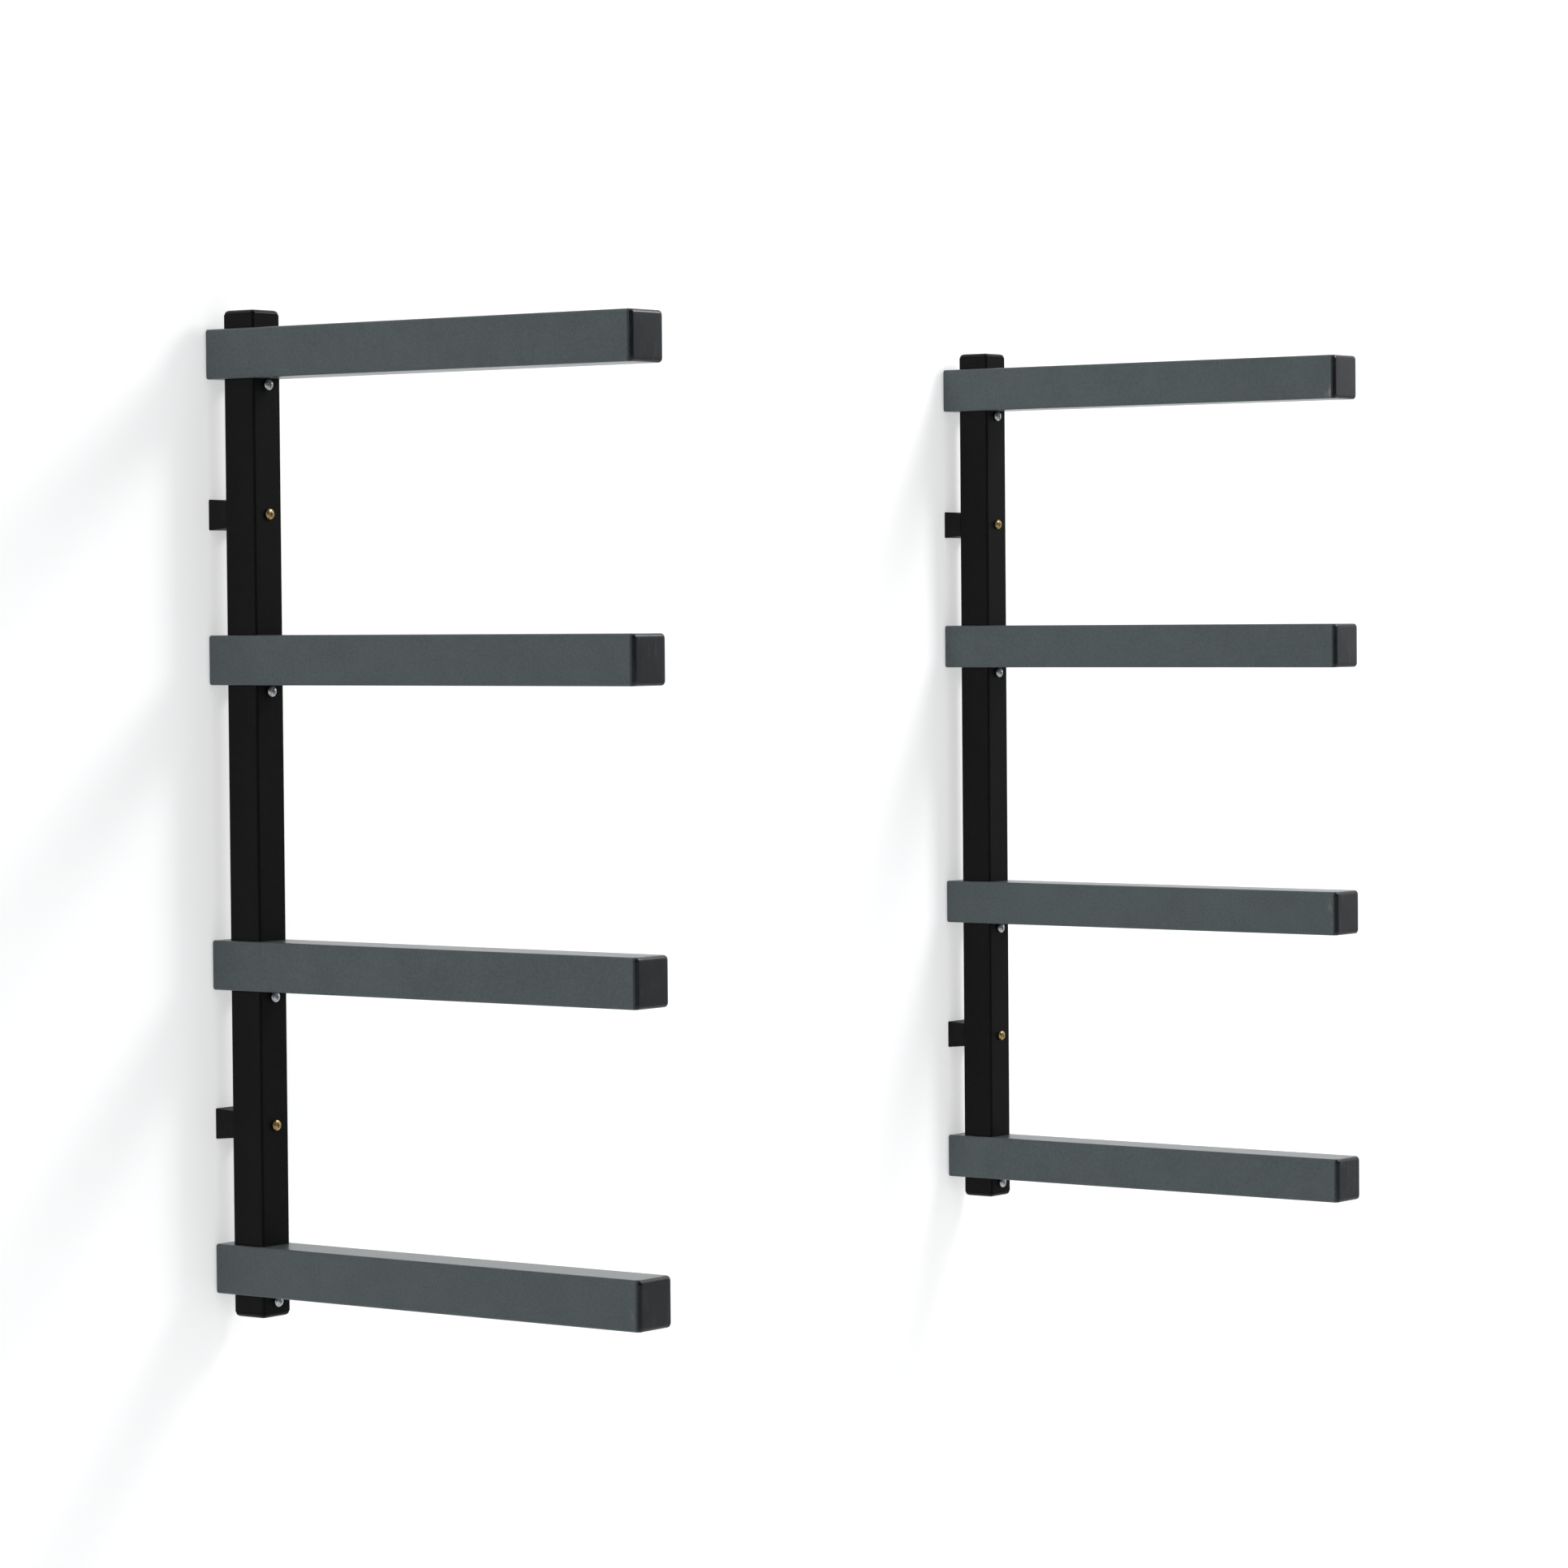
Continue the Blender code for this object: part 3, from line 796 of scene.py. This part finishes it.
def spacer_mesh():
    """Tapered block from the post at 0 to the wall, cored out from the wall's side round a ribbed
    tube for the screw."""
    low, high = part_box("left_upper_wall_spacer")
    width, height, depth = high.x - low.x, high.z - low.z, high.y - low.y
    small_width, small_height = width - 2 * SPACER_DRAFT, height - 2 * SPACER_DRAFT
    sections = (
        (small_width - 2 * SPACER_EDGE, small_height - 2 * SPACER_EDGE, 0.0),
        (small_width - SPACER_EDGE * 0.5, small_height - SPACER_EDGE * 0.5, SPACER_EDGE * 0.4),
        (small_width, small_height, SPACER_EDGE),
        (width, height, depth),
    )
    rings = [backward(rounded_rectangle(x, z, SPACER_CORNER), at) for x, z, at in sections]
    block = loft("spacer", rings)
    hole = SCREW_DIAMETER / 2 + HOLE_CLEARANCE
    boss = hole + SPACER_BOSS
    rib = SPACER_RIB / 2
    rings = [backward(circle(hole), at) for at in (-SPACER_PAST, depth + SPACER_PAST)]
    cutters = [(loft("bore", rings), (0, 0, 0))]
    reach_x, reach_z = width / 2 - SPACER_WALL, height / 2 - SPACER_WALL
    start = math.asin(rib / boss)
    sweep = [start + (math.pi / 2 - 2 * start) * i / BOSS_STEPS for i in range(BOSS_STEPS + 1)]
    for right, up in ((1, 1), (-1, 1), (-1, -1), (1, -1)):
        rings = []
        deep_end = (SPACER_FLOOR, SPACER_DRAFT * POCKET_DRAFT)
        for at, shrink in (deep_end, (depth + SPACER_PAST, 0.0)):
            side, top = reach_x - shrink, reach_z - shrink
            outline = [(boss * math.cos(angle), boss * math.sin(angle)) for angle in sweep]
            outline += [(rib, top), (side - POCKET_CORNER, top)]
            outline += [(side, top - POCKET_CORNER), (side, rib)]
            rings.append(backward([(x * right, z * up) for x, z in outline], at))
        cutters.append((loft("pocket", rings), (0, 0, 0)))
    return finished(cut(block, cutters), SPACER_PLASTIC)


# ---------------------------------------------------------------- the rack

post_low, post_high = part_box("left_post")
arm_low, arm_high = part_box("left_arm_1")
top_cap_low, top_cap_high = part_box("left_post_top_cap")
end_cap_low, end_cap_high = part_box("left_arm_1_end_cap")


def post_cap_mesh(name, along):
    return plug_mesh(
        name,
        post_high.x - post_low.x,
        post_high.y - post_low.y,
        top_cap_high.z - post_high.z,
        post_high.z - top_cap_low.z,
        POST_PLUG_EDGE,
        along,
        POST_CAP_PLASTIC,
    )


MESHES = {
    "post": post_mesh(),
    "arm": arm_mesh(),
    "top_cap": post_cap_mesh("post_top_cap", upward),
    "bottom_cap": post_cap_mesh("post_bottom_cap", downward),
    "end_cap": plug_mesh(
        "arm_end_cap",
        arm_high.x - arm_low.x,
        arm_high.z - arm_low.z,
        arm_low.y - end_cap_low.y,
        end_cap_high.y - arm_low.y,
        ARM_PLUG_EDGE,
        forward,
        CAP_PLASTIC,
    ),
    "bolt": stop_bolt_mesh(),
    "screw": wall_screw_mesh(),
    "nut": nut_mesh(),
    "spacer": spacer_mesh(),
}

for side in SIDES:
    post_node = f"{side}_post"
    post = middle(post_node)
    low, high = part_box(post_node)
    front_seat, back_seat = low.y - FACE_GAP, high.y + FACE_GAP
    place(MESHES["post"], post_node, post)
    place(MESHES["top_cap"], f"{side}_post_top_cap", (post.x, post.y, high.z))
    place(MESHES["bottom_cap"], f"{side}_post_bottom_cap", (post.x, post.y, low.z))
    for number in range(1, ARM_COUNT + 1):
        arm_node = f"{side}_arm_{number}"
        height = middle(arm_node).z
        place(MESHES["arm"], arm_node, (post.x, post.y, height))
        place(MESHES["end_cap"], f"{arm_node}_end_cap", (post.x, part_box(arm_node)[0].y, height))
        bolt_height = middle(f"{side}_stop_bolt_{number}").z
        place(MESHES["bolt"], f"{side}_stop_bolt_{number}", (post.x, front_seat, bolt_height))
        place(MESHES["nut"], f"{side}_stop_nut_{number}", (post.x, back_seat, bolt_height))
    for where in SCREW_PLACES:
        screw_height = middle(f"{side}_{where}_wall_screw").z
        place(MESHES["screw"], f"{side}_{where}_wall_screw", (post.x, front_seat, screw_height))
        place(MESHES["spacer"], f"{side}_{where}_wall_spacer", (post.x, back_seat, screw_height))


# ---------------------------------------------------------------- the set

WALL_Y = 0.0008
FLOOR_Z = -1.35
WALL_SIDE, WALL_TOP, FLOOR_REACH = 7.0, 4.0, 25.0
ROOM_COLOUR = (0.98, 0.99, 1.0, 1.0)
BRIGHT_SIDE = (0.46, 0.66)  # how far along its own direction it begins, and is full


def sheet(name, corners, material):
    mesh = bpy.data.meshes.new(name)
    mesh.from_pydata(corners, [], [(0, 1, 2, 3)])
    mesh.materials.append(material)
    obj = bpy.data.objects.new(name, mesh)
    bpy.context.scene.collection.objects.link(obj)


wall_paint = one_sided(
    "wall_paint", (0.86, 0.86, 0.865), (0.845, 0.845, 0.85), scale=500.0, depth=0.00004, glow=0.45
)
floor_paint = one_sided(
    "floor_paint", (0.78, 0.78, 0.78), (0.76, 0.76, 0.76), scale=200.0, depth=0.0001
)
sheet(
    "wall",
    [
        (-WALL_SIDE, WALL_Y, FLOOR_Z),
        (WALL_SIDE, WALL_Y, FLOOR_Z),
        (WALL_SIDE, WALL_Y, WALL_TOP),
        (-WALL_SIDE, WALL_Y, WALL_TOP),
    ],
    wall_paint,
)
sheet(
    "floor",
    [
        (-FLOOR_REACH, -FLOOR_REACH, FLOOR_Z),
        (FLOOR_REACH, -FLOOR_REACH, FLOOR_Z),
        (FLOOR_REACH, FLOOR_REACH, FLOOR_Z),
        (-FLOOR_REACH, FLOOR_REACH, FLOOR_Z),
    ],
    floor_paint,
)


def studio_world(strength, dark_gloss, bright_gloss, towards, backdrop):
    """Even white light from all round. What gloss sees of it is a room with one bright side, and
    what the camera sees past the wall and floor is a plain backdrop of its own brightness."""
    world = bpy.data.worlds.new("studio")
    bpy.context.scene.world = world
    world.use_nodes = True
    tree = world.node_tree
    background = tree.nodes["Background"]
    background.inputs["Color"].default_value = ROOM_COLOUR
    facing = tree.nodes.new("ShaderNodeVectorMath")
    facing.operation = "DOT_PRODUCT"
    facing.inputs[1].default_value = towards
    tree.links.new(tree.nodes.new("ShaderNodeTexCoord").outputs["Generated"], facing.inputs[0])
    room = tree.nodes.new("ShaderNodeMapRange")
    room.interpolation_type = "SMOOTHSTEP"
    room.inputs["From Min"].default_value, room.inputs["From Max"].default_value = BRIGHT_SIDE
    room.inputs["To Min"].default_value = dark_gloss
    room.inputs["To Max"].default_value = bright_gloss
    tree.links.new(facing.outputs["Value"], room.inputs["Value"])
    rays = tree.nodes.new("ShaderNodeLightPath")
    # Of these two nodes' inputs, 0 is the share and 2 and 3 are the values that it goes between.
    by_gloss = tree.nodes.new("ShaderNodeMix")
    by_gloss.inputs[2].default_value = strength
    tree.links.new(rays.outputs["Is Glossy Ray"], by_gloss.inputs[0])
    tree.links.new(room.outputs["Result"], by_gloss.inputs[3])
    by_camera = tree.nodes.new("ShaderNodeMix")
    by_camera.inputs[3].default_value = backdrop
    tree.links.new(rays.outputs["Is Camera Ray"], by_camera.inputs[0])
    tree.links.new(by_gloss.outputs[0], by_camera.inputs[2])
    tree.links.new(by_camera.outputs[0], background.inputs["Strength"])


studio_world(
    strength=0.58, dark_gloss=0.08, bright_gloss=0.98, towards=(0.7, 0.0, 0.7), backdrop=0.85
)


def softbox(name, location, target, width, height, power):
    data = bpy.data.lights.new(name, "AREA")
    data.shape = "RECTANGLE"
    data.size, data.size_y = width, height
    data.energy = power
    obj = bpy.data.objects.new(name, data)
    bpy.context.scene.collection.objects.link(obj)
    obj.location = location
    obj.rotation_mode = "QUATERNION"
    obj.rotation_quaternion = (Vector(target) - Vector(location)).to_track_quat("-Z", "Y")
    obj.visible_camera = False


softbox("key", (1.6, -2.2, 2.0), target=(0.0, 0.0, 0.0), width=1.0, height=1.0, power=40.0)

bpy.context.scene.view_settings.view_transform = "Standard"


# ---------------------------------------------------------------- the photograph's camera

CAMERA_PLACE = (-4.6011, -3.6221, 0.2027)
CAMERA_AZIMUTH = 53.529  # the view's direction, from +Y towards +X
CAMERA_DOWN = 1.902
CAMERA_ROLL = -0.464
CAMERA_LENS = 121.57  # on a sensor this wide
CAMERA_SENSOR = 36.0

azimuth, down = math.radians(CAMERA_AZIMUTH), math.radians(CAMERA_DOWN)
roll = math.radians(CAMERA_ROLL)
ahead = Vector(
    (math.sin(azimuth) * math.cos(down), math.cos(azimuth) * math.cos(down), -math.sin(down))
)
level = Vector((math.cos(azimuth), -math.sin(azimuth), 0.0))
above = level.cross(ahead)
right = math.cos(roll) * level + math.sin(roll) * above
up = math.cos(roll) * above - math.sin(roll) * level
camera_data = bpy.data.cameras.new("camera")
camera_data.sensor_width = CAMERA_SENSOR
camera_data.lens = CAMERA_LENS
camera_data.clip_start, camera_data.clip_end = 0.1, 60.0
camera = bpy.data.objects.new("camera", camera_data)
bpy.context.scene.collection.objects.link(camera)
turn = Matrix((right, up, -ahead)).transposed().to_4x4()
camera.matrix_world = Matrix.Translation(CAMERA_PLACE) @ turn
bpy.context.scene.camera = camera
